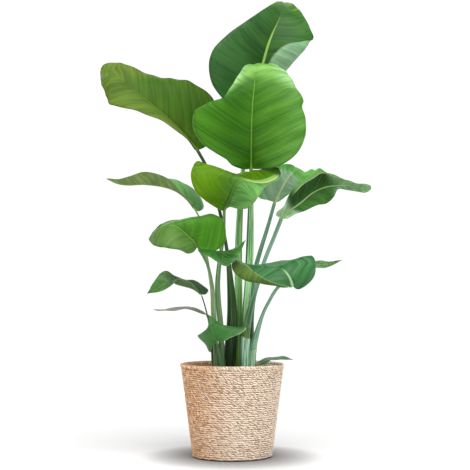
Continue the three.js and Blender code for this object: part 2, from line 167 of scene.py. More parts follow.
class Nodes:
    # adds nodes to one tree and returns their outputs as wires

    def __init__(self, tree):
        self.tree = tree

    def plug(self, value, socket):
        if isinstance(value, Wire):
            self.tree.links.new(value.socket, socket)
        else:
            socket.default_value = value

    def add(self, kind, output=0, **values):
        # a capitalised name is an input of the node, any other a setting
        made = self.tree.nodes.new(kind)
        for key, value in values.items():
            if key[0].isupper():
                self.plug(value, made.inputs[key.replace("_", " ")])
            else:
                setattr(made, key, value)
        return Wire(self, made.outputs[output])

    def mix(self, share, a, b, blend="MIX"):
        made = self.tree.nodes.new("ShaderNodeMix")
        made.data_type = "RGBA"
        made.blend_type = blend
        for place, value in ((0, share), (6, a), (7, b)):
            self.plug(value, made.inputs[place])
        return Wire(self, made.outputs[2])

    def ramp(self, value, low, high):
        return self.add("ShaderNodeMapRange", interpolation_type="SMOOTHSTEP", Value=value,
                        From_Min=low, From_Max=high)

    def noise(self, vector, scale, detail=2.0, rough=0.5):
        return self.add("ShaderNodeTexNoise", Vector=vector, Scale=scale, Detail=detail, Roughness=rough)

    def scaled(self, vector, scale):
        return self.add("ShaderNodeMapping", Vector=vector, Scale=scale)

    def join(self, x, y, z):
        return self.add("ShaderNodeCombineXYZ", X=x, Y=y, Z=z)

    def polar(self, radius, turn, height):
        return self.join(radius * turn.math("COSINE"), radius * turn.math("SINE"), height)

    def mark(self, name):
        return self.add("ShaderNodeAttribute", "Fac", attribute_name=name)

    def place(self):
        return self.add("ShaderNodeTexCoord", "Object")

    def random(self, low, high, seed, identity):
        made = self.tree.nodes.new("FunctionNodeRandomValue")
        for socket, value in ((2, low), (3, high), ("ID", identity), ("Seed", seed)):
            self.plug(value, made.inputs[socket])
        return Wire(self, made.outputs[1])

    def scatter(self, points, shape, facing, size, finish):
        # the shape at every point, made real and given its material
        copies = self.add("GeometryNodeInstanceOnPoints", Points=points, Instance=shape,
                          Rotation=facing, Scale=size)
        real = self.add("GeometryNodeRealizeInstances", Geometry=copies)
        return self.add("GeometryNodeSetMaterial", Geometry=real, Material=finish)


def makeGroup(name, kind, inputs, outputs, fill):
    # fill gets the nodes and the inputs by name, and returns what goes to the outputs
    tree = bpy.data.node_groups.new(name, kind)
    for way, sockets in (("INPUT", inputs), ("OUTPUT", outputs)):
        for label, socketKind in sockets.items():
            tree.interface.new_socket(label, in_out=way, socket_type="NodeSocket" + socketKind)
    nodes = Nodes(tree)
    given = tree.nodes.new("NodeGroupInput").outputs
    result = tree.nodes.new("NodeGroupOutput").inputs
    made = fill(nodes, SimpleNamespace(**{label: Wire(nodes, given[label]) for label in inputs}))
    for label, wire in zip(outputs, made):
        nodes.plug(wire, result[label])
    return tree


def makeMaterial(name, specular, bump, paint):
    # paint adds nodes and returns colour, roughness and height; bump is its strength and distance
    material = bpy.data.materials.new(name)
    material.use_nodes = True
    nodes = Nodes(material.node_tree)
    shader = nodes.tree.nodes["Principled BSDF"]
    shader.inputs["Specular IOR Level"].default_value = specular
    colour, rough, height = paint(nodes)
    nodes.plug(colour, shader.inputs["Base Color"])
    nodes.plug(rough, shader.inputs["Roughness"])
    if bump:
        relief = nodes.add("ShaderNodeBump", Height=height, Strength=bump[0], Distance=bump[1])
        nodes.plug(relief, shader.inputs["Normal"])
    return material


# Studio: camera, floor and light, in metres

studio = {
    "cameraPlace": (0.007, -3.2, 0.454),
    "cameraAim": (0.007, 0, 0.598),
    "lens": 90.1,
    "sensor": 36,
    "lightAim": (0, 0, 0.7),
    "floorSize": 30.0,
    "floorRough": 0.9,
    "floorPaint": (0.705, 0.705, 0.71, 1),
    "floorShade": (0.21, 0.21, 0.212, 1),
    "contactReach": 0.15,
    "contactFall": 5.0,
    "horizonStrength": 1.06,
    "zenithStrength": 0.55,
    "dimFrom": 0.25,
    "dimTo": 0.7,
    "sunStrength": 3.0,
    "sunSpread": 50.0,
    "sunFrom": (0.2, -0.8, 2.0),
    "sunColour": (1, 0.99, 0.975),
    "rimPower": 14.0,
    "rimPlace": (-0.9, 1.7, 2.4),
    "rimColour": (0.97, 0.99, 1),
    "rimSize": 1.4,
}


def aimAt(thing, target):
    thing.rotation_euler = (Vector(target) - thing.location).to_track_quat("-Z", "Y").to_euler()


def addLight(name, kind, place, power, colour):
    light = bpy.data.lights.new(name, kind)
    light.energy = power
    light.color = colour
    holder = linkedObject(name, light)
    holder.location = place
    aimAt(holder, studio["lightAim"])
    return light


def floorPaint(nodes):
    # painted shade: the floor's colour darkens towards floorShade where ambient occlusion finds the basket
    # close, a contact shadow painted into the floor
    near = nodes.add("ShaderNodeAmbientOcclusion", "AO", samples=8, Distance=studio["contactReach"])
    openness = near.math("POWER", studio["contactFall"])
    return nodes.mix(openness, studio["floorShade"], studio["floorPaint"]), studio["floorRough"], 0


def makeStudio():
    scene = bpy.context.scene
    camera = linkedObject("camera", bpy.data.cameras.new("camera"))
    camera.location = studio["cameraPlace"]
    camera.data.lens = studio["lens"]
    camera.data.sensor_width = studio["sensor"]
    aimAt(camera, studio["cameraAim"])
    scene.camera = camera
    scene.view_settings.view_transform = "Standard"
    half = studio["floorSize"] / 2
    corners = [(-half, -half, 0), (half, -half, 0), (half, half, 0), (-half, half, 0)]
    paint = makeMaterial("floor paint", 0.1, None, floorPaint)
    makePiece("floor", corners, [(0, 1, 2, 3)], paint)
    # a white room whose ceiling is dimmer than its walls
    world = scene.world or bpy.data.worlds.new("studio sky")
    scene.world = world
    world.use_nodes = True
    nodes = Nodes(world.node_tree)
    sky = nodes.tree.nodes["Background"].inputs
    sky["Color"].default_value = (1, 1, 1, 1)
    height = nodes.add("ShaderNodeSeparateXYZ", "Z", Vector=nodes.add("ShaderNodeTexCoord", "Generated"))
    nodes.plug(nodes.add("ShaderNodeMapRange", Value=height, From_Min=studio["dimFrom"],
                         From_Max=studio["dimTo"], To_Min=studio["horizonStrength"],
                         To_Max=studio["zenithStrength"]), sky["Strength"])
    sun = addLight("soft window", "SUN", studio["sunFrom"], studio["sunStrength"], studio["sunColour"])
    sun.angle = math.radians(studio["sunSpread"])
    rim = addLight("rim light", "AREA", studio["rimPlace"], studio["rimPower"], studio["rimColour"])
    rim.size = studio["rimSize"]


makeStudio()
print("studio ready")


# Basket, in millimetres. A strand is a length, a width, a rise and a bulge.

basket = {
    "height": 250,
    "topRadius": 140,
    "footRadius": 107,
    "footRound": 9,
    "firstRow": 3,
    "wall": 9,
    "rows": 42,
    "rowWave": 1.2,
    "innerWave": 1.0,
    "rimHeight": 6,
    "strandsPerRow": 156,
    "strandLength": 9.6,
    "strandWidth": 2.8,
    "strandBulge": 1.5,
    "strandRise": 0.9,
    "sunken": 2.4,
    "rimStrands": 118,
    "rimStrand": (8, 4.2, 7.5, 2.2),
    "rimInset": 2.6,
    "rimFrom": 8,
    "rimTo": 1.6,
    "innerRows": 3,
    "innerStrands": 120,
    "innerStrand": (10, 3.6, 4.4, -1.0),
    "innerSpan": (233, 248),
    "innerInset": 8.2,
}


def wallPoint(height, inset):
    # (radius, height) of a point that lies inset from the basket's slanting side
    low, high = basket["footRadius"], basket["topRadius"]
    return low + (high - low) * height / basket["height"] - inset, height


def seagrassMaterial(name, strand):
    # dry twisted grass: each strand has its own tone, and painted light makes the side towards +X paler and
    # the other side deeper orange-brown
    def paint(nodes):
        place = nodes.place()
        sideways = nodes.add("ShaderNodeSeparateXYZ", "X", Vector=place)
        patches = nodes.noise(place, 14.0, 3.0)
        # painted light: the colour runs from deeper orange-brown to pale along X, as if lit from the +X side
        paintedLightSide = nodes.ramp(patches * 0.05 + sideways, -0.1, 0.05)
        tan = nodes.mix(paintedLightSide, (0.8, 0.46, 0.23, 1), (0.97, 0.82, 0.66, 1))
        tone = nodes.mark("tone") if strand else patches
        dark = nodes.mix(nodes.ramp(tone, 0.3, 0.0) * 0.6, tan, (0.36, 0.18, 0.08, 1))
        pale = nodes.mix(nodes.ramp(tone, 0.62, 0.95) * 0.55, dark, (1, 0.92, 0.8, 1))
        fibres = nodes.noise(nodes.scaled(place, (600, 600, 1500)), 1.0, 3.0)
        shaded = nodes.mix(0.28, pale, (0.28, 0.15, 0.07, 1))
        colour = nodes.mix(nodes.ramp(fibres, 0.2, 0.8), shaded, pale)
        if not strand:
            # painted shade: the whole wall is darkened as the shade between the strands, and below its mouth
            # it is darker and browner still, as the shade inside the basket
            height = nodes.add("ShaderNodeSeparateXYZ", "Z", Vector=place)
            colour = nodes.mix(0.55, colour, (0.2, 0.1, 0.05, 1))
            colour = nodes.mix(nodes.ramp(height, 0.244, 0.24) * 0.6, colour, (0.3, 0.17, 0.1, 1))
        return colour, fibres * 0.3 + 0.5, fibres

    return makeMaterial(name, 0.3, (0.5, 0.0004), paint)


def strandTemplate(length, width, rise, bulge):
    # one visible bit of a twisted cord: a spindle that bows out and drops by its rise as it goes
    sides, rings = 5, (0.22, 0.5, 0.78)
    points = [(-length / 2, 0, rise / 2)]
    for t in rings:
        thick = width / 2 * (0.8 + 0.2 * math.sin(math.pi * t))
        for k in range(sides):
            turn = 2 * math.pi * (k + 0.25) / sides
            points.append((length * (t - 0.5) + 0.35 * thick * math.sin(turn),
                           -bulge * math.sin(math.pi * t) - thick * math.cos(turn) * 0.8,
                           rise * (0.5 - t) + thick * math.sin(turn)))
    points.append((length / 2, 0, -rise / 2))
    faces = [(0, 1 + k, 1 + (k + 1) % sides) for k in range(sides)]
    last = 1 + (len(rings) - 1) * sides
    for a in range(1, last, sides):
        b = a + sides
        faces += [(a + k, b + k, b + (k + 1) % sides, a + (k + 1) % sides) for k in range(sides)]
    faces += [(last + (k + 1) % sides, last + k, len(points) - 1) for k in range(sides)]
    mesh = bpy.data.meshes.new("strand")
    mesh.from_pydata([tuple(c * mm for c in p) for p in points], [], faces)
    mesh.shade_smooth()
    return linkedObject("strand", mesh)


def fillCordRows(nodes, given):
    # rows of strands round a cone: an index gives its row and its place, and each row has its own turn
    index = nodes.add("GeometryNodeInputIndex")
    row = (index / given.strandsPerRow).math("FLOOR")

    def draw(low, high, extra, identity=index):
        return nodes.random(low, high, given.seed + extra, identity)

    def across(low, high):
        return nodes.add("ShaderNodeMapRange", Value=(row + 0.5) / given.rows, To_Min=low, To_Max=high)

    shift = draw(0.0, 1.0, 1, row) + given.wander * draw(-1.0, 1.0, 2)
    turn = (index + shift) / given.strandsPerRow * (2 * math.pi)
    radius = across(given.footRadius, given.topRadius) + draw(-0.0007, 0.0007, 3)
    height = across(given.footHeight, given.topHeight) + draw(-0.0011, 0.0011, 4)
    spots = nodes.add("GeometryNodePoints", Count=given.rows * given.strandsPerRow)
    placed = nodes.add("GeometryNodeSetPosition", Geometry=spots, Position=nodes.polar(radius, turn, height))
    toned = nodes.add("GeometryNodeStoreNamedAttribute", data_type="FLOAT", domain="POINT",
                      Geometry=placed, Name="tone", Value=draw(0.0, 1.0, 7))
    facing = nodes.join(draw(-0.2, 0.2, 5), draw(-0.24, 0.24, 6), turn + math.pi / 2)
    shape = nodes.add("GeometryNodeObjectInfo", "Geometry", Object=given.strand)
    return [nodes.scatter(toned, shape, facing, draw(0.9, 1.12, 8), given.finish)]


def growMesh(name, tree, values):
    # runs a node tree on an empty mesh and keeps the result as a plain mesh
    piece = linkedObject(name, bpy.data.meshes.new(name))
    modifier = piece.modifiers.new("grow", "NODES")
    modifier.node_group = tree
    for item in tree.interface.items_tree:
        if item.in_out == "INPUT" and item.name in values:
            modifier[item.identifier] = values[item.name]
    shape = piece.evaluated_get(bpy.context.evaluated_depsgraph_get())
    grown = bpy.data.meshes.new_from_object(shape)
    piece.modifiers.clear()
    piece.data = grown
    grown.name = name
    grown.shade_smooth()
    return piece


def cordRows(name, tree, finish, strand, rows, perRow, foot, top, wander, seed):
    # foot and top are the (radius, height) where the rows begin and end
    template = strandTemplate(*strand)
    piece = growMesh(name, tree, {
        "rows": rows, "strandsPerRow": perRow, "footRadius": foot[0] * mm, "footHeight": foot[1] * mm,
        "topRadius": top[0] * mm, "topHeight": top[1] * mm, "wander": wander, "seed": seed,
        "strand": template, "finish": finish})
    bpy.data.objects.remove(template)
    return piece


def basketWall(first, pitch, finish):
    foot, top, height, thick = (basket[k] for k in ("footRadius", "topRadius", "height", "wall"))
    inside, halfRows = top - thick, 2 * basket["rows"]
    outer = [wallPoint(first + pitch * k / 2, basket["sunken"] + basket["rowWave"] * (k % 2 == 0))
             for k in range(1, halfRows + 1)]
    lip = [(top - 2.5, height - 4), (top - 3, height - 0.6), (top - 4.5, height), (inside + 2, height)]
    inner = [wallPoint(first + pitch * k / 2, thick - basket["innerWave"] * (k % 2 == 0))
             for k in range(halfRows, 0, -1)]
    inner = [point for point in inner if point[1] > thick + 2]
    return turnedMesh("basket_wall", [
        (0, 0), (foot - basket["footRound"], 0), (foot - 4, 2.6), *outer, *lip, *inner,
        (inner[-1][0], thick), (0, thick)], finish, 160)


def makeBasket():
    strandFinish = seagrassMaterial("seagrass strands", True)
    wallFinish = seagrassMaterial("seagrass wall", False)
    tree = makeGroup("cord rows", "GeometryNodeTree", {
        "Geometry": "Geometry", "rows": "Int", "strandsPerRow": "Int", "footRadius": "Float",
        "topRadius": "Float", "footHeight": "Float", "topHeight": "Float", "wander": "Float",
        "seed": "Int", "strand": "Object", "finish": "Material"}, {"Geometry": "Geometry"}, fillCordRows)
    height, width, bulge = basket["height"], basket["strandWidth"], basket["strandBulge"]
    first, last = basket["firstRow"], height - basket["rimHeight"]
    pitch = (last - first) / basket["rows"]
    inset = (width + bulge) / 2
    strand = (basket["strandLength"], width, pitch * basket["strandRise"], bulge)
    rows = cordRows("basket_cord_rows", tree, strandFinish, strand, basket["rows"], basket["strandsPerRow"],
                    wallPoint(first, inset), wallPoint(last, inset), 0.25, 11)
    rimRadius = basket["topRadius"] - basket["rimInset"]
    rim = cordRows("basket_rim", tree, strandFinish, basket["rimStrand"], 1, basket["rimStrands"],
                   (rimRadius, height - basket["rimFrom"]), (rimRadius, height - basket["rimTo"]), 0.1, 5)
    # the mouth's inside shows its own rows above the pot
    low, high = (wallPoint(level, basket["innerInset"]) for level in basket["innerSpan"])
    lining = cordRows("basket_inner_rows", tree, strandFinish, basket["innerStrand"], basket["innerRows"],
                      basket["innerStrands"], low, high, 0.2, 8)
    for piece in (basketWall(first, pitch, wallFinish), rows, rim, lining):
        settle(piece, "basket")


makeBasket()
print("basket ready")


# Nursery pot and soil, in millimetres

pot = {
    "foot": 9.3,
    "height": 222,
    "topRadius": 124,
    "footRadius": 91,
    "wall": 2,
    "lip": 4,
    "gap": 0.3,
    "soilGap": 0.5,
    "soilTop": 228,
    "dome": 4,
    "crumbs": 2200,
    "crumbSize": 2.0,
}


def potRadius(height):
    share = (height - pot["foot"]) / pot["height"]
    return pot["footRadius"] + (pot["topRadius"] - pot["footRadius"]) * share


def potPaint(nodes):
    place = nodes.place()
    dust = nodes.noise(place, 60.0, 4.0)
    colour = nodes.mix(nodes.ramp(dust, 0.5, 0.75), (0.022, 0.018, 0.016, 1), (0.07, 0.055, 0.045, 1))
    return colour, dust * 0.3 + 0.35, nodes.noise(place, 900.0)


def soilPaint(nodes):
    place = nodes.place()
    grain, damp = nodes.noise(place, 260.0, 5.0, 0.65), nodes.noise(place, 22.0)
    colour = nodes.mix(nodes.ramp(grain, 0.35, 0.75), (0.012, 0.008, 0.006, 1), (0.075, 0.045, 0.028, 1))
    lighter = nodes.mix(nodes.ramp(damp, 0.45, 0.75), colour, (0.1, 0.065, 0.042, 1))
    return lighter, damp * 0.3 + 0.6, grain


def fillCrumbs(nodes, given):
    # crumbs of bark and peat spread over the soil's top
    index = nodes.add("GeometryNodeInputIndex")
    goldenAngle = 2.39996

    def draw(low, high, extra):
        return nodes.random(low, high, given.seed + extra, index)

    reach = given.reach * draw(0.0, 1.0, 1).math("SQRT")
    spots = nodes.add("GeometryNodePoints", Count=given.count)
    place = nodes.polar(reach, index * goldenAngle, given.level + draw(-0.0012, 0.0012, 2))
    placed = nodes.add("GeometryNodeSetPosition", Geometry=spots, Position=place)
    crumb = nodes.add("GeometryNodeMeshIcoSphere", Radius=given.size, Subdivisions=1)
    facing = nodes.join(draw(0.0, 6.3, 3), draw(0.0, 6.3, 4), draw(0.0, 6.3, 5))
    size = nodes.join(draw(0.5, 2.2, 6), draw(0.4, 1.3, 7), draw(0.3, 0.9, 8))
    return [nodes.scatter(placed, crumb, facing, size, given.finish)]


def makePotAndSoil():
    foot, top, wall = pot["foot"], pot["foot"] + pot["height"], pot["wall"]
    outer, lip = pot["topRadius"], pot["topRadius"] + pot["lip"]
    profile = [(0, foot), (pot["footRadius"] - 2, foot), (pot["footRadius"], foot + 2),
               (potRadius(top - 8), top - 8), (lip - 1.2, top - 7), (lip - 0.2, top - 6), (lip, top - 1),
               (lip - 0.8, top), (outer - wall + 1, top), (outer - wall, top - 1),
               (potRadius(foot + wall) - wall, foot + wall), (0, foot + wall)]
    potFinish = makeMaterial("dark pot plastic", 0.5, (0.15, 0.0002), potPaint)
    settle(turnedMesh("nursery_pot", profile, potFinish, 160), "grow_pot")
    soilFinish = makeMaterial("potting soil", 0.5, (0.9, 0.0015), soilPaint)
    low, gap = foot + wall + pot["gap"], wall + pot["soilGap"]
    edge, dome = pot["soilTop"] - pot["dome"], pot["dome"]
    domed = [((potRadius(edge) - gap) * s, edge + dome * (1 - s ** 4)) for s in np.linspace(1, 0, 13)[:-1]]
    soil = turnedMesh("soil_bed", [(0, low), (potRadius(low) - gap, low), *domed, (0, pot["soilTop"])],
                      soilFinish, 96)
    rough = np.random.default_rng(3)
    for point in soil.data.vertices:
        if point.co.z > (edge - 0.1) * mm:
            point.co.z += rough.uniform(-2.4, 0.2) * mm
    settle(soil, "soil")
    tree = makeGroup("soil crumbs", "GeometryNodeTree", {
        "Geometry": "Geometry", "count": "Int", "reach": "Float", "level": "Float", "size": "Float",
        "seed": "Int", "finish": "Material"}, {"Geometry": "Geometry"}, fillCrumbs)
    crumbs = growMesh("soil_crumbs", tree, {
        "count": pot["crumbs"], "reach": (potRadius(pot["soilTop"]) - gap - 3) * mm,
        "level": (pot["soilTop"] - 1.6) * mm, "size": pot["crumbSize"] * mm, "seed": 4,
        "finish": soilFinish})
    crumbs.data.shade_flat()
    settle(crumbs, "soil")


makePotAndSoil()
print("pot and soil ready")


# Leaves. Each has its foot in the soil, the stalk's radius at foot and blade, the stalk's route, the midrib
# from base to tip and the blade's two edges, all in millimetres. A fold is where a half turns over. The looks
# differ from leafLook and stalkLook.

leaves = [
    dict(name="top_leaf", foot=(18, 20), girth=(11, 4.6), veinSweep=0.2, shine=0.14,
         stalk=[(17, 26, 388), (17, 40, 583), (29, 75, 783)],
         midrib=[(49, 105, 951), (69, 100, 1029), (86, 106, 1097), (101, 114, 1149), (114, 122, 1182),
             (130, 136, 1217), (142, 162, 1251), (148, 204, 1283), (153, 262, 1302)],
         left=[(31, 92, 929), (-15, 62, 968), (-56, 48, 1020), (-66, 45, 1070), (-56, 52, 1114),
             (-20, 66, 1158), (21, 82, 1193), (69, 105, 1231), (107, 140, 1264), (134, 196, 1289)],
         right=[(66, 80, 947), (98, 40, 997), (98, 15, 1070), (139, 20, 1121), (191, 50, 1140),
             (225, 75, 1152), (220, 110, 1191), (204, 146, 1235), (186, 186, 1270), (168, 232, 1294)],
         rightFold=[(60, 90, 971), (108, 78, 1016), (163, 62, 1076), (202, 72, 1128), (206, 98, 1163),
             (191, 130, 1213), (172, 172, 1255), (159, 228, 1289)],
         look=dict(upper=(0.034, 0.12, 0.02), rightTint=(1.05, 1.2, 0.7), deep=(0.012, 0.06, 0.008),
             under=(0.3, 0.52, 0.3), pale=(0.2, 0.34, 0.16), rib=(0.26, 0.42, 0.08), ribReach=0.68,
             ribWidth=0.8, tipTint=(2.6, 1.9, 0.5), tipStart=0.72, marginTint=(1.1, 1.15, 1.4),
             edge=(0.12, 0.09, 0.05), edgeWidth=2.2, gloss=0.3),
         stalkLook=dict(body=(0.26, 0.56, 0.2), deep=(0.1, 0.3, 0.07), pale=(0.7, 0.68, 0.4),
             sheath=(0.1, 0.24, 0.03), band=(0.09, 0.22, 0.02))),
    dict(name="front_leaf", foot=(37, 10), girth=(10, 4.8), shine=0.08, leftTears=[(0.17, 0.05, 7)],
         stalk=[(37, 5, 389), (49, 2, 541), (52, 2, 666)],
         midrib=[(51, -24, 776), (51, -62, 853), (52, -80, 907), (55, -86, 957), (59, -80, 995),
             (61, -62, 1031), (67, -34, 1063), (84, 10, 1052)],
         left=[(31, -36, 774), (-4, -62, 784), (-41, -82, 810), (-81, -92, 838), (-104, -96, 878),
             (-103, -94, 913), (-97, -93, 927), (-78, -91, 939), (-54, -90, 949), (-37, -89, 950),
             (-23, -86, 961), (-5, -78, 989), (16, -66, 1025), (41, -46, 1057)],
         right=[(72, -38, 774), (125, -74, 779), (171, -92, 810), (193, -98, 855), (195, -97, 899),
             (186, -92, 936), (190, -87, 952), (172, -74, 988), (153, -58, 1025), (131, -42, 1050),
             (105, -22, 1065)],
         # painted highlight: the tip and margin tints make the blade's top and its edges pale and bluish, a
         # sheen where the blade bends back
         look=dict(upper=(0.08, 0.26, 0.01), deep=(0.032, 0.14, 0.004), leftTint=(0.45, 0.58, 0.35),
             rightTint=(1.0, 0.92, 1.9), rib=(0.16, 0.32, 0.04), ribWidth=0.6, ribReach=0.74,
             tipTint=(3.2, 2.0, 11.0), tipStart=0.62, marginTint=(1.6, 1.35, 2.8), gloss=0.34,
             lineShare=0.12),
         stalkLook=dict(body=(0.38, 0.72, 0.33), deep=(0.07, 0.24, 0.07), sheath=(0.5, 0.8, 0.52),
             band=(0.12, 0.2, 0.02), pale=(0.6, 0.85, 0.6), slant=4)),
    dict(name="left_leaf", foot=(-11, 14), girth=(15, 4.6), taper=(0.2, 0.62), veinSweep=0.8, shine=0.08,
         stalk=[(-1, 2, 372), (-5, 3, 462), (-16, 6, 563), (-37, 12, 672), (-70, 20, 783)],
         midrib=[(-96, 24, 832), (-122, 18, 866), (-167, 5, 912), (-222, -8, 958), (-283, -14, 1005),
             (-329, -8, 1035), (-357, 8, 1035), (-366, 40, 1037)],
         left=[(-111, 12, 848), (-142, -38, 872), (-185, -78, 897), (-229, -92, 915), (-278, -80, 932),
             (-315, -64, 942), (-331, -54, 948), (-340, -42, 969), (-352, -20, 996), (-361, 8, 1019)],
         right=[(-73, 44, 847), (-43, 72, 912), (-52, 78, 982), (-88, 70, 1013), (-124, 62, 1032),
             (-169, 55, 1037), (-213, 48, 1042), (-254, 42, 1056), (-301, 34, 1075), (-347, 30, 1075),
             (-364, 36, 1063)],
         look=dict(upper=(0.075, 0.16, 0.01), deep=(0.035, 0.085, 0.004), rib=(0.1, 0.19, 0.03),
             leftTint=(1.4, 1.15, 2.2), rightTint=(0.72, 0.9, 0.8), edge=(0.03, 0.035, 0.01),
             edgeWidth=2.6, tipTint=(1.5, 1.2, 2.2), tipStart=0.6, ribWidth=0.5, ribReach=0.8,
             marginTint=(1.2, 1.1, 1.2), gloss=0.42, lineShare=0.08),
         # painted shade: this stalk, sheath and band are painted near black-green, as the shaded side of the
         # bundle of stalks
         stalkLook=dict(body=(0.02, 0.075, 0.01), deep=(0.01, 0.035, 0.004), sheath=(0.01, 0.035, 0.008),
             band=(0.02, 0.06, 0.01))),
    dict(name="narrow_leaf", foot=(-43, 12), girth=(5.5, 2.8),
         stalk=[(-49, 6, 389), (-60, 0, 481), (-74, -8, 565), (-89, -16, 643)],
         midrib=[(-102, -20, 668), (-123, -28, 694), (-150, -40, 714), (-182, -52, 725), (-236, -64, 731),
             (-279, -68, 729), (-308, -66, 733), (-337, -62, 747)],
         left=[(-113, -42, 685), (-130, -68, 703), (-152, -88, 727), (-173, -100, 744), (-198, -106, 756),
             (-225, -106, 760), (-260, -98, 755), (-288, -88, 745), (-313, -74, 745)],
         right=[(-94, -8, 662), (-78, 14, 673), (-84, 26, 698), (-106, 24, 723), (-125, 10, 738),
             (-159, -8, 749), (-202, -24, 754), (-259, -44, 748), (-306, -58, 743)],
         look=dict(upper=(0.14, 0.38, 0.1), deep=(0.06, 0.18, 0.045), under=(0.23, 0.32, 0.09),
             pale=(0.35, 0.42, 0.25)),
         stalkLook=dict(body=(0.42, 0.66, 0.34), deep=(0.2, 0.38, 0.14), pale=(0.6, 0.46, 0.28))),
    dict(name="centre_leaf", foot=(-28, -2), girth=(8, 4.2), shine=0.08,
         stalk=[(-32, -6, 351), (-38, -9, 413), (-40, -12, 462), (-35, -16, 524), (-24, -26, 600)],
         midrib=[(-22, -46, 659), (-13, -66, 679), (-3, -88, 700), (6, -104, 721), (17, -112, 737),
             (39, -108, 736), (63, -100, 732), (87, -90, 732), (108, -76, 740), (126, -58, 756),
             (124, -40, 777)],
         left=[(-41, -60, 666), (-73, -86, 685), (-98, -102, 710), (-110, -100, 747), (-106, -86, 775),
             (-92, -68, 792), (-65, -56, 780), (-36, -48, 765), (-1, -44, 762), (37, -40, 767),
             (75, -34, 775), (104, -30, 784)],
         right=[(-10, -62, 669), (12, -90, 663), (39, -112, 663), (57, -122, 677), (71, -124, 697),
             (83, -118, 717), (98, -104, 728), (115, -84, 738), (130, -62, 757)],
         look=dict(upper=(0.085, 0.19, 0.01), deep=(0.035, 0.1, 0.004), leftTint=(0.95, 1.08, 0.12),
             rightTint=(1.5, 1.75, 7.5), creaseStrip=(0.22, 0.36, 0.08), rib=(0.14, 0.25, 0.06),
             ribWidth=0.5, ribReach=0.75, crease=1.0, creasePlace=-0.02, stripWidth=-0.15,
             creaseFrom=0.45, creaseTo=0.86, tipTint=(0.35, 0.6, 0.5), tipStart=0.85,
             marginTint=(1.5, 1.3, 1.6), lineShare=0.1),
         stalkLook=dict(body=(0.2, 0.36, 0.17), deep=(0.08, 0.19, 0.06))),
    dict(name="back_leaf", foot=(50, 23), girth=(7.5, 5.0),
         stalk=[(51, 24, 388), (55, 28, 468), (70, 34, 533), (100, 48, 631)],
         midrib=[(117, 58, 691), (131, 58, 722), (143, 62, 744), (158, 72, 765), (179, 105, 783),
             (210, 150, 782)],
         left=[(129, 66, 694), (153, 88, 713), (179, 112, 727), (215, 138, 749), (244, 150, 776),
             (228, 160, 793)],
         right=[(100, 50, 696), (73, 32, 703), (67, 22, 734), (87, 30, 770), (126, 52, 793),
             (155, 82, 801), (183, 120, 795)],
         look=dict(under=(0.36, 0.56, 0.36), deep=(0.05, 0.12, 0.06), pale=(0.42, 0.52, 0.36),
             rib=(0.5, 0.6, 0.3), underTint=1.0, tipTint=(0.42, 0.85, 0.2), tipStart=0.5, ribReach=0.6,
             ribWidth=0.8, lineShare=0.3, marginTint=(0.6, 0.9, 0.6)),
         stalkLook=dict(body=(0.16, 0.33, 0.22), deep=(0.05, 0.15, 0.07), pale=(0.45, 0.6, 0.5))),
    dict(name="right_leaf", foot=(33, -16), girth=(12, 5.6), taper=(0.2, 0.62), shine=0.05,
         stalk=[(37, -19, 333), (47, -20, 389), (64, -14, 454), (87, 0, 527), (115, 12, 596)],
         midrib=[(134, 20, 644), (155, 26, 668), (185, 30, 689), (219, 32, 717), (251, 32, 732),
             (288, 30, 738), (318, 26, 738), (348, 22, 730), (381, 18, 728)],
         left=[(150, 30, 644), (174, 46, 658), (201, 58, 667), (237, 68, 685), (263, 72, 689),
             (281, 68, 707), (294, 56, 727), (314, 42, 725), (341, 34, 719), (366, 28, 716),
             (378, 22, 722)],
         right=[(118, 4, 653), (122, -3, 663), (139, -10, 677), (151, -26, 701), (182, -42, 739),
             (213, -44, 759), (235, -38, 777), (258, -30, 765), (284, -18, 758), (308, -6, 749),
             (338, 6, 741), (364, 12, 739), (378, 16, 735)],
         # painted shadow: the dark right tint stands for the shadow that the folded margin casts on the right
         # half
         look=dict(under=(0.07, 0.19, 0.04), deep=(0.02, 0.07, 0.014), upper=(0.06, 0.2, 0.02),
             rib=(0.3, 0.42, 0.18), underTint=1.0, leftTint=(0.75, 0.95, 0.7), rightTint=(0.2, 0.4, 0.2),
             baseTint=(6.5, 3.8, 10.0), baseEnd=0.26, tipTint=(3.4, 2.3, 5.0), tipStart=0.55, crease=1.0,
             creasePlace=0.7, stripWidth=0.32, creaseFrom=0.26, creaseTo=0.8,
             creaseStrip=(0.16, 0.42, 0.1), marginTint=(1.3, 1.2, 1.3), lineShare=0.2),
         stalkLook=dict(body=(0.17, 0.33, 0.22), deep=(0.05, 0.15, 0.04), sheath=(0.55, 0.88, 0.66),
             band=(0.1, 0.19, 0.012), pale=(0.5, 0.68, 0.54), sheathTop=0.265, slant=3)),
    dict(name="side_leaf", foot=(-47, -7), girth=(7, 3.6), shine=0.1,
         stalk=[(-51, -26, 389), (-55, -36, 459), (-65, -44, 510), (-80, -54, 547)],
         midrib=[(-93, -66, 564), (-105, -74, 581), (-127, -82, 601), (-151, -88, 618), (-184, -82, 620),
             (-210, -64, 604), (-225, -48, 586)],
         left=[(-103, -88, 549), (-118, -108, 544), (-139, -124, 553), (-171, -126, 558),
             (-199, -108, 563), (-218, -74, 574)],
         right=[(-75, -78, 549), (-45, -70, 553), (-22, -62, 572), (-17, -60, 603), (-26, -62, 637),
             (-52, -60, 651), (-81, -54, 648), (-116, -48, 641), (-154, -44, 637), (-184, -46, 629),
             (-209, -54, 608)],
         look=dict(upper=(0.06, 0.23, 0.008), deep=(0.03, 0.13, 0.005), leftTint=(1.6, 0.88, 4.5),
             rib=(0.25, 0.38, 0.12), ribWidth=0.5, ribReach=0.7),
         stalkLook=dict(body=(0.3, 0.5, 0.2), deep=(0.12, 0.28, 0.08), sheath=(0.5, 0.4, 0.2),
             pale=(0.62, 0.46, 0.28), band=(0.3, 0.5, 0.2), sheathTop=0.7, slant=14)),
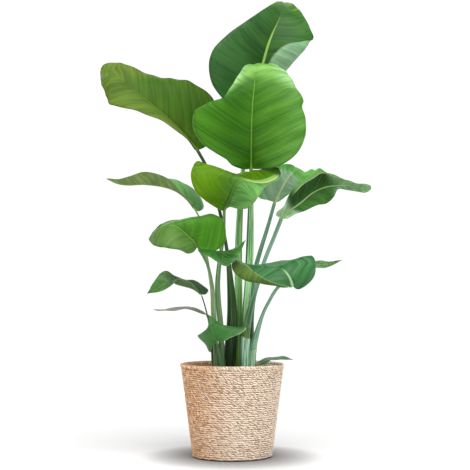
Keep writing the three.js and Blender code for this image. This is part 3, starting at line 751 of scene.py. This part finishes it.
    dict(name="boat_leaf", foot=(-41, -22), girth=(5, 2.8), shine=0.1,
         stalk=[(-48, -44, 390), (-53, -58, 459), (-65, -74, 510), (-78, -88, 538)],
         midrib=[(-89, -98, 555), (-67, -112, 552), (-40, -124, 548), (-14, -130, 548), (12, -128, 560),
             (35, -120, 580)],
         left=[(-86, -88, 558), (-59, -80, 554), (-27, -80, 550), (2, -92, 555), (23, -108, 569)],
         right=[(-84, -112, 547), (-59, -138, 534), (-38, -154, 520), (-16, -162, 510), (1, -160, 520),
             (15, -148, 538), (27, -134, 559)],
         look=dict(upper=(0.03, 0.14, 0.015), deep=(0.01, 0.055, 0.008), rib=(0.05, 0.16, 0.04),
             marginTint=(2.0, 1.6, 2.5)),
         stalkLook=dict(body=(0.2, 0.36, 0.17), deep=(0.08, 0.19, 0.06))),
    dict(name="low_right_leaf", foot=(53, -27), girth=(8.5, 4.6), taper=(0.3, 0.6),
         stalk=[(57, -32, 294), (71, -48, 353), (85, -60, 393), (98, -70, 419), (112, -82, 444),
             (128, -106, 461)],
         midrib=[(156, -132, 459), (153, -138, 477), (142, -134, 495), (129, -122, 506), (102, -108, 508),
             (68, -98, 509), (37, -94, 518), (8, -90, 530)],
         left=[(139, -142, 459), (113, -158, 466), (82, -172, 479), (53, -172, 498), (39, -156, 512),
             (20, -126, 522)],
         leftFold=[(142, -140, 455), (113, -152, 462), (77, -160, 468), (35, -160, 474), (7, -146, 493),
             (-1, -118, 515)],
         right=[(171, -126, 450), (198, -116, 463), (218, -102, 488), (220, -92, 515), (212, -78, 540),
             (178, -62, 532), (146, -54, 529), (117, -51, 522), (87, -54, 507), (52, -62, 500),
             (26, -76, 510)],
         look=dict(upper=(0.05, 0.21, 0.065), deep=(0.02, 0.09, 0.028), under=(0.09, 0.165, 0.025),
             rib=(0.25, 0.45, 0.22), rightTint=(0.75, 0.85, 0.7), ribWidth=0.5, ribReach=0.42, gloss=0.3),
         stalkLook=dict(body=(0.21, 0.4, 0.28), deep=(0.06, 0.18, 0.09), sheath=(0.4, 0.66, 0.42),
             band=(0.28, 0.5, 0.32), pale=(0.5, 0.66, 0.54), sheathTop=0.27, slant=3)),
    dict(name="twisted_leaf", foot=(-53, -26), girth=(3, 1.9),
         stalk=[(-55, -34, 293), (-60, -52, 355), (-66, -60, 379), (-74, -72, 411)],
         midrib=[(-82, -84, 436), (-104, -90, 452), (-127, -96, 459), (-146, -100, 464),
             (-161, -104, 471), (-179, -108, 464), (-200, -110, 451), (-224, -110, 439)],
         left=[(-89, -102, 447), (-108, -120, 466), (-129, -132, 477), (-145, -138, 478),
             (-156, -138, 463), (-175, -132, 449), (-198, -122, 443)],
         right=[(-69, -72, 438), (-63, -62, 449), (-78, -60, 461), (-102, -66, 474), (-128, -76, 478),
             (-153, -86, 486), (-174, -94, 499), (-191, -100, 492), (-206, -106, 470)],
         look=dict(upper=(0.04, 0.095, 0.045), deep=(0.02, 0.05, 0.025), tipTint=(1.5, 1.9, 0.7),
             tipStart=0.55, gloss=0.28),
         stalkLook=dict(body=(0.03, 0.06, 0.035), deep=(0.012, 0.025, 0.015))),
    dict(name="thin_leaf", foot=(-54, 9), girth=(3, 2.0),
         stalk=[(-54, -2, 291), (-62, -12, 346), (-66, -18, 373)],
         midrib=[(-71, -22, 383), (-89, -28, 394), (-114, -34, 401), (-151, -40, 400), (-186, -44, 395),
             (-213, -46, 397)],
         left=[(-79, -38, 384), (-100, -58, 393), (-126, -68, 397), (-160, -68, 394), (-193, -58, 393)],
         right=[(-74, -8, 387), (-94, 10, 395), (-121, 16, 400), (-156, 8, 399), (-188, -14, 394)],
         look=dict(upper=(0.22, 0.24, 0.16), deep=(0.14, 0.16, 0.1), under=(0.26, 0.27, 0.2)),
         stalkLook=dict(body=(0.03, 0.06, 0.035), deep=(0.012, 0.025, 0.015))),
    dict(name="folded_leaf", foot=(-29, -24), girth=(5, 2.6),
         stalk=[(-34, -48, 272), (-38, -62, 296)],
         midrib=[(-41, -76, 312), (-50, -82, 332), (-58, -80, 356), (-64, -68, 384)],
         left=[(-53, -66, 296), (-61, -52, 282), (-75, -38, 304), (-93, -30, 326), (-74, -38, 324),
             (-60, -56, 341)],
         right=[(-22, -92, 314), (-4, -100, 324), (20, -98, 333), (36, -88, 347), (12, -78, 351),
             (-19, -72, 351), (-42, -68, 368)],
         look=dict(upper=(0.05, 0.2, 0.04), deep=(0.022, 0.11, 0.018), rib=(0.08, 0.22, 0.05),
             marginTint=(1.5, 1.2, 1.6), edge=(0.7, 0.85, 0.6), edgeWidth=3.2)),
    dict(name="rim_leaf", foot=(64, -38), girth=(3.4, 2.2),
         stalk=[(58, -50, 242)],
         midrib=[(67, -58, 251), (79, -64, 258), (95, -68, 265), (113, -70, 265), (134, -68, 266),
             (161, -62, 264)],
         left=[(66, -48, 255), (82, -40, 264), (98, -38, 268), (119, -40, 271), (140, -50, 271)],
         right=[(73, -74, 250), (89, -84, 255), (103, -86, 263), (123, -82, 266), (145, -72, 265)],
         look=dict(upper=(0.065, 0.13, 0.06), deep=(0.03, 0.08, 0.035), leftTint=(1.5, 1.5, 1.5))),
    dict(name="young_leaf", foot=(61, 14), girth=(4, 2.2),
         stalk=[(55, 12, 372), (65, 11, 443), (83, 12, 484), (116, 10, 503)],
         midrib=[(151, 6, 510), (184, 2, 516), (222, 0, 518), (260, 0, 519), (298, 0, 530)],
         left=[(160, 22, 519), (186, 34, 527), (227, 28, 529), (266, 12, 527)],
         right=[(159, -10, 503), (185, -24, 504), (226, -24, 508), (262, -12, 511)],
         look=dict(upper=(0.12, 0.24, 0.1), under=(0.15, 0.27, 0.12))),
]

blade = {
    "camber": 0.06,
    "thick": 1.0,
    "edgeThick": 0.5,
    "easing": 0.65,
    "crowding": 1.4,
    "veinPitch": 9.0,
    "slowPitch": 2.7,
    "veinRelief": 0.26,
    "veinSweep": 0.55,
    "waveHeight": 1.3,
    "waveLength": 62,
    "ribStart": 4,
    "ribThinning": 0.85,
    "ribDepth": 1.1,
    "channelDepth": 0.35,
    "shine": 0.16,
    "taper": (0.4, 1),
    "stalkGap": 0.3,
    "soilHole": 28,
    "straightFoot": 18,
    "largeGirth": 7.5,
    "largeGrid": (150, 16),
    "smallGrid": (90, 12),
}


def leafCurves(leaf):
    base, tip = leaf["midrib"][0], leaf["midrib"][-1]
    x, y = leaf["foot"]
    low = pot["soilTop"] - blade["soilHole"]
    foot = [(x, y, low), (x, y, low + blade["straightFoot"])]
    curves = {"midrib": smoothCurve(leaf["midrib"]), "stalk": smoothCurve([*foot, *leaf["stalk"], base])}
    for name in ("left", "right", "leftFold", "rightFold"):
        if name in leaf:
            curves[name] = smoothCurve([base, *leaf[name], tip])
    return curves


def bladeHalf(leaf, curves, side, shares, across):
    # rows run from the base to the tip, and columns from the midrib to the edge
    even = 1 - blade["easing"]
    eased = even * shares + blade["easing"] * (1 - np.cos(np.pi * shares)) / 2
    inner = curveAt(curves["midrib"], eased)
    outer = curveAt(curves[side], shares)
    for place, wide, deep in leaf.get(side + "Tears", ()):
        cut = np.maximum(0, 1 - np.abs(shares - place) / wide)[:, None] * deep * mm
        outer = outer - unit(outer - inner) * cut
    width = outer - inner
    ahead = heading(curves["midrib"], eased, 0.01)
    bulge = np.cross(ahead, width) * blade["camber"] * (1 if side == "left" else -1)
    v = across[None, :, None]
    inner, outer, bulge = inner[:, None], outer[:, None], bulge[:, None]
    if side + "Fold" in curves:
        middle = curveAt(curves[side + "Fold"], shares)[:, None]
        grid = inner * 2 * (v - 0.5) * (v - 1) + middle * 4 * v * (1 - v) + outer * 2 * v * (v - 0.5)
    else:
        grid = inner * (1 - v) + outer * v + bulge * 4 * v * (1 - v)
    along = np.einsum("rcx,rx->rc", grid - inner, ahead)
    aside = np.sqrt(np.maximum(0, np.sum((grid - inner) ** 2, axis=-1) - along ** 2))
    sweepTo = leaf.get("veinSweep", blade["veinSweep"])
    vein = eased[:, None] * curves["midrib"]["length"][-1] + along - sweepTo * aside
    return grid, np.linalg.norm(width, axis=-1), vein


def upNormals(grid):
    up = unit(np.cross(np.gradient(grid, axis=1), np.gradient(grid, axis=0)))
    up[0], up[-1] = up[1], up[-2]
    return up


def bladeMesh(leaf, curves, material, rows, columns):
    shares = np.linspace(0, 1, rows + 1)
    across = (np.arange(columns + 1) / columns) ** blade["crowding"]
    left, leftWidth, leftVein = bladeHalf(leaf, curves, "left", shares, across)
    right, rightWidth, rightVein = bladeHalf(leaf, curves, "right", shares, across)
    grid = np.concatenate([left[:, :0:-1], right], axis=1)
    vein = np.concatenate([leftVein[:, :0:-1], rightVein], axis=1)
    signed = np.concatenate([-across[:0:-1], across])
    out = np.abs(signed)[None]
    width = np.concatenate([np.repeat(leftWidth[:, None], columns, 1),
                            np.repeat(rightWidth[:, None], columns + 1, 1)], axis=1)
    reach = out * width
    up = upNormals(grid)
    # pleats between the side veins, waves near the edges, a channel over the midrib
    wander = leaf["seed"] * 1.7
    turns = 2 * np.pi * vein / mm
    pleat = (np.sin(turns / blade["veinPitch"] + wander)
             + 0.6 * np.sin(turns / (blade["veinPitch"] * blade["slowPitch"]) + 2 * wander))
    inside = smoothStep(0, 0.2, out) * smoothStep(0, 0.06, 1 - out)
    calm = (smoothStep(0, 0.12, shares) * smoothStep(0, 0.1, 1 - shares))[:, None]
    wave = np.sin(turns / blade["waveLength"] + wander * 3 + 1.5 * np.sign(signed)[None]) * out ** 3
    ribWide = leaf["girth"][1] * (1 - blade["ribThinning"] * shares ** 0.8)[:, None] * mm
    channel = np.exp(-(reach / (ribWide * 1.1)) ** 2) * ribWide * blade["channelDepth"]
    lift = (pleat * inside * blade["veinRelief"] + wave * blade["waveHeight"]) * calm * mm - channel
    top = grid + up * lift[..., None]
    thick = blade["thick"] + (blade["edgeThick"] - blade["thick"]) * out ** 6
    rib = ribWide * blade["ribDepth"] * np.sqrt(np.maximum(0, 1 - (reach / ribWide) ** 2))
    rib = rib * (smoothStep(0, 0.04, shares) * smoothStep(0, 0.04, 1 - shares))[:, None]
    under = grid + up * (lift + channel - thick * mm - rib)[..., None]
    wide = 2 * columns + 1
    layers = {"vein": vein * 1000, "across": np.repeat(signed[None], rows + 1, 0),
              "ribGap": reach / np.maximum(ribWide, 1e-5), "edgeGap": (1 - out) * width * 1000,
              "along": np.repeat(shares[:, None], wide, 1)}
    points, faces, uvs = [], [], []
    marks = {key: [] for key in (*layers, "under")}

    def addRow(layer, row, below):
        # the first and last rows come together in one point
        picked = [columns] if row in (0, rows) else range(wide)
        start = len(points)
        for column in picked:
            points.append(layer[row, column])
            uvs.append((0.5 + 0.5 * signed[column], shares[row]))
            for key, values in layers.items():
                marks[key].append(values[row, column])
            marks["under"].append(below)
        return [start] * wide if len(picked) == 1 else list(range(start, start + wide))

    upper = [addRow(top, row, 0.0) for row in range(rows + 1)]
    lower = [addRow(under, row, 1.0) for row in range(rows + 1)]

    def face(*corners):
        kept = [c for k, c in enumerate(corners) if c != corners[k - 1]]
        if len(kept) > 2:
            faces.append(tuple(kept))

    for a, b, c, d in zip(upper, upper[1:], lower, lower[1:]):
        for k in range(wide - 1):
            face(a[k], a[k + 1], b[k + 1], b[k])
            face(c[k], d[k], d[k + 1], c[k + 1])
        face(a[0], b[0], d[0], c[0])
        face(a[-1], c[-1], d[-1], b[-1])
    upward = up[2, columns]
    addRib(leaf, curves, upward, points, faces, uvs, marks)
    return makePiece(leaf["name"], points, faces, material, uvs, marks), upward


def addRib(leaf, curves, upward, points, faces, uvs, marks):
    # the stalk's end runs on under the blade and thins into the midrib
    thick = leaf["girth"][1]
    back = blade["ribStart"] * mm / curves["stalk"]["length"][-1]
    route = [curveAt(curves["stalk"], 1 - share)[0] / mm for share in (back, back / 2)]
    for share, depth in ((0, 0), (0.06, 0.5), (0.14, 0.45)):
        route.append(curveAt(curves["midrib"], share)[0] / mm - upward * depth * thick)
    start = len(points)
    tube, loops, places = sweep(smoothCurve(route), np.linspace(0, 1, 13), 18, upward,
                                lambda s: thick * (1 - 0.6 * s), lambda s: 0.28 + 0 * s)
    points.extend(tube)
    faces.extend(tuple(start + c for c in loop) for loop in loops)
    uvs.extend([(0.5, 0.02)] * len(tube))
    flat = {"vein": 0, "across": 0, "ribGap": 0, "edgeGap": 99, "along": 0.02, "under": 1}
    for key, value in flat.items():
        marks[key].extend([value] * len(tube))


def sweep(curve, shares, sides, upward, girth, groove, swell=None):
    # a bar along a curve with a groove on its upper side; returns points, faces and (round, along) places
    centre = curveAt(curve, shares)
    ahead = heading(curve, shares, 0.004)
    up = unit(upward - ahead * (ahead @ upward)[:, None])
    side = np.cross(ahead, up)
    points, faces, places = [], [], []
    radius, depth = girth(shares) * mm, groove(shares)
    for k in range(len(shares)):
        for n in range(sides):
            turn = 2 * math.pi * n / sides
            near = math.exp(-(min(turn, 2 * math.pi - turn) / 0.5) ** 2)
            r = radius[k] * (1 - depth[k] * near) * (swell(n / sides, shares[k]) if swell else 1)
            points.append(centre[k] + up[k] * r * math.cos(turn) + side[k] * r * math.sin(turn))
            places.append((n / sides, shares[k]))
    last = (len(shares) - 1) * sides
    for low in range(0, last, sides):
        faces += ringFaces(low, low + sides, sides)
    faces.append(tuple(range(sides - 1, -1, -1)))
    faces.append(tuple(last + n for n in range(sides)))
    return points, faces, places


leafLook = {
    "upper": (0.05, 0.19, 0.012),
    "deep": (0.02, 0.085, 0.006),
    "under": (0.12, 0.22, 0.09),
    "pale": (0.34, 0.5, 0.2),
    "edge": (0.34, 0.5, 0.2),
    "rib": (0.3, 0.45, 0.13),
    "creaseStrip": (0.14, 0.24, 0.03),
    "leftTint": (1, 1, 1),
    "rightTint": (1, 1, 1),
    "baseTint": (1, 1, 1),
    "tipTint": (1, 1, 1),
    "marginTint": (1.15, 1.1, 1.3),
    "baseEnd": 0.001,
    "tipStart": 0.8,
    "edgeWidth": 1.2,
    "ribReach": 0.95,
    "ribWidth": 0.9,
    "crease": 0.0,
    "creasePlace": 0.5,
    "creaseFrom": 0.5,
    "creaseTo": 0.9,
    "stripWidth": -0.18,
    "underTint": 0.0,
    "lineShare": 0.16,
    "gloss": 0.36,
    "brown": 0.9,
}

stalkLook = {
    "body": (0.11, 0.24, 0.1),
    "deep": (0.04, 0.11, 0.035),
    "pale": (0.3, 0.46, 0.27),
    "sheath": (0.14, 0.27, 0.13),
    "band": (0.11, 0.24, 0.1),
    "sheathTop": 0.2,
    "slant": 12,
}


def fillLeaf(nodes, given):
    # waxy blade: side veins, mottling, a pale midrib and edge, dull paler underside, brown tip
    mix, ramp = nodes.mix, nodes.ramp
    vein, across, under, along, ribGap, edgeGap = (
        nodes.mark(name) for name in ("vein", "across", "under", "along", "ribGap", "edgeGap"))
    place = nodes.place()

    def streaks(pitch, spread, shift):
        return nodes.noise(nodes.join(vein * (1 / pitch), across * spread, given.seed + shift), 1.0)

    wide, broad, fine = streaks(24.0, 0.8, 9.2), streaks(7.0, 1.1, 0.3), streaks(1.3, 1.6, 5.1)
    line = ramp(abs((vein * 0.62 + broad * 5.0).math("SINE")), 0.35, 0.0)
    tone = broad * 0.4 + (wide * 0.45 + nodes.noise(place, 9.0) * 0.25)
    tint = mix(ramp(across, -0.35, 0.35), given.leftTint, given.rightTint)
    tint = mix(ramp(along, given.baseEnd, given.baseEnd * 0.6), tint, given.baseTint)
    # tip and margin tints; on the front leaf they are a painted highlight
    tint = mix(ramp(along, given.tipStart, given.tipStart + 0.12), tint, given.tipTint)
    margin = mix(1.0, tint, given.marginTint, "MULTIPLY")
    tint = mix(ramp(abs(across), 0.35, 1.0), tint, margin)
    body = mix(ramp(tone, 0.38, 0.7), given.deep, given.upper)
    body = mix(1.0, body, tint, "MULTIPLY")
    body = mix(line * given.lineShare, body, given.pale)
    body = mix(ramp(fine, 0.4, 0.75) * 0.3, body, given.deep)
    # painted shade: beside the midrib the blade is darkened towards the deep colour, most near the base, as
    # the shade in the groove along the rib
    groove = ramp(ribGap, 3.2, 1.2) * ramp(along, given.ribReach, 0.0)
    body = mix(groove * 0.6, body, given.deep)
    shaded = mix(1.0, given.under, (0.5, 0.58, 0.52, 1), "MULTIPLY")
    below = mix(ramp(tone, 0.38, 0.64), given.under, shaded)
    below = mix(given.underTint, below, tint, "MULTIPLY")
    below = mix(line * (given.lineShare + 0.06), below, given.pale)
    both = mix(under, body, below)
    # where one half turns over, a strip of another tone beside a pale crest line
    beyond = ramp(along, given.creaseFrom, given.creaseFrom + 0.1) * ramp(
        along, given.creaseTo, given.creaseTo - 0.08) * given.crease
    off = across - given.creasePlace
    share = off / given.stripWidth
    strip = ramp(share, 0.0, 0.1) * ramp(share, 1.0, 0.85) * beyond
    both = mix(strip, both, given.creaseStrip)
    both = mix(ramp(abs(off), 0.05, 0.02) * beyond, both, given.pale)
    ribEnd = ramp(along, given.ribReach, given.ribReach - 0.2)
    both = mix(ramp(ribGap, given.ribWidth, given.ribWidth * 0.55) * ribEnd, both, given.rib)
    both = mix(ramp(edgeGap, given.edgeWidth, given.edgeWidth * 0.4) * 0.6, both, given.edge)
    dry = ramp(nodes.noise(place, 45.0, 3.0), 0.55, 0.75) * ramp(edgeGap, 2.6, 0.5)
    dry = dry.math("MAXIMUM", ramp(along, 0.975, 0.992))
    both = mix(dry * given.brown, both, (0.07, 0.04, 0.022, 1))
    rough = given.gloss + under * 0.18 + (fine * 0.14 - 0.05)
    return both, rough, line * 0.6 + fine * 0.5


def fillStalk(nodes, given):
    # smooth waxy stalk: long streaks, and a sheath below that ends in a thin slanting dry edge
    mix, ramp = nodes.mix, nodes.ramp
    around, rise, beyond = (nodes.mark(name) for name in ("around", "rise", "sheathGap"))
    turn = around * (2 * math.pi)
    spot = nodes.join(turn.math("SINE"), turn.math("COSINE"), rise * 0.004 + given.seed)
    streak = nodes.noise(spot, 1.6, 3.0)
    fine = nodes.noise(nodes.scaled(spot, (7, 7, 2)), 1.0)
    body = mix(ramp(beyond, -6.0, 6.0), given.sheath, given.body)
    body = mix(ramp(beyond, -3.0, 0.0) * ramp(beyond, 32.0, 24.0), body, given.band)
    colour = mix(ramp(streak, 0.56, 0.36), body, given.deep)
    colour = mix(ramp(fine, 0.5, 0.8) * 0.4, colour, given.pale)
    colour = mix(ramp(abs(beyond), 1.8, 0.6) * 0.7, colour, (0.2, 0.15, 0.07, 1))
    return colour, fine * 0.2 + 0.33, fine


def surfaceGroup(name, look, fill):
    # one input for every colour or number of the look, and a seed
    kinds = {key: "Color" if isinstance(value, tuple) else "Float" for key, value in look.items()}
    return makeGroup(name, "ShaderNodeTree", {**kinds, "seed": "Float"},
                     {"colour": "Color", "roughness": "Float", "height": "Float"}, fill)


def surfaceMaterial(name, specular, bump, group, look):
    def paint(nodes):
        made = nodes.tree.nodes.new("ShaderNodeGroup")
        made.node_tree = group
        for socket in made.inputs:
            value = look[socket.name]
            socket.default_value = (*value, 1) if isinstance(value, tuple) else value
        return [Wire(nodes, socket) for socket in made.outputs]

    return makeMaterial(name, specular, bump, paint)


def stalkMaterial(name, look, seed, group):
    return surfaceMaterial(name, 0.25, (0.3, 0.0005), group, {**look, "seed": seed})


def stalkPiece(name, swept, length, sheathGap, material):
    points, faces, places = swept
    marks = {"around": [around for around, _ in places], "rise": [share * length for _, share in places],
             "sheathGap": [sheathGap(*place) for place in places]}
    return makePiece(name, points, faces, material, places, marks)


def stalkMesh(leaf, curves, upward, look, material):
    low, high = leaf["girth"]
    thinning = leaf.get("taper", blade["taper"])
    length = curves["stalk"]["length"][-1]
    start, stop = blade["stalkGap"] * mm / length, 1 - blade["ribStart"] * mm / length
    shares = np.linspace(start, stop, max(24, int(length / 0.005)))

    def sheathGap(around, share):
        # millimetres above the slanting end of the sheath
        edge = look["sheathTop"] * length * 1000 + look["slant"] * math.cos(2 * math.pi * (around - 0.12))
        return share * length * 1000 - edge

    swept = sweep(
        curves["stalk"], shares, 20, upward, lambda s: high + (low - high) * (1 - smoothStep(*thinning, s)),
        lambda s: 0.12 + 0.16 * smoothStep(0.35, 0.75, s),
        lambda around, share: 1.07 - 0.09 * smoothStep(-2.5, 2.5, sheathGap(around, share)))
    return stalkPiece(leaf["name"] + "_petiole", swept, length * 1000, sheathGap, material)


def makeLeaves(skin, bark):
    for number, leaf in enumerate(leaves):
        name = leaf["name"]
        leaf["seed"] = number + 1
        curves = leafCurves(leaf)
        grid = "largeGrid" if leaf["girth"][0] > blade["largeGirth"] else "smallGrid"
        look = {**leafLook, **leaf.get("look", {}), "seed": leaf["seed"] * 3.1}
        shine = leaf.get("shine", blade["shine"])
        finish = surfaceMaterial(name + " skin", shine, (0.35, 0.0006), skin, look)
        piece, upward = bladeMesh(leaf, curves, finish, *blade[grid])
        settle(piece, name + "_blade")
        look = {**stalkLook, **leaf.get("stalkLook", {})}
        finish = stalkMaterial(name + " stalk", look, number * 2.3, bark)
        settle(stalkMesh(leaf, curves, upward, look, finish), name + "_stalk")


# A rolled young leaf among the tall stalks; its radii stand at the places along its route.

spear = {
    "route": [(31, 38, 200), (31, 38, 218), (35, 40, 389), (43, 34, 600), (50, 24, 760), (56, 24, 850),
              (66, 30, 950)],
    "places": [0, 0.45, 0.72, 0.82, 0.93, 1],
    "radii": [5, 4.4, 3.2, 6.5, 5, 0.8],
    "length": 750,
    "aboveSheath": 90,
}


def makeSpear(bark):
    swept = sweep(
        smoothCurve(spear["route"]), np.linspace(0.0005, 1, 110), 20, np.array([0, -1.0, 0]),
        lambda s: np.interp(s, spear["places"], spear["radii"]),
        lambda s: 0.1 + 0.2 * smoothStep(0.7, 0.8, s))
    finish = stalkMaterial("spear skin", stalkLook, 60.0, bark)
    piece = stalkPiece("spear_roll", swept, spear["length"], lambda *place: spear["aboveSheath"], finish)
    settle(piece, "spear_leaf")


leafSkin = surfaceGroup("leaf surface", leafLook, fillLeaf)
stalkBark = surfaceGroup("stalk surface", stalkLook, fillStalk)
makeLeaves(leafSkin, stalkBark)
makeSpear(stalkBark)
print("leaves ready")
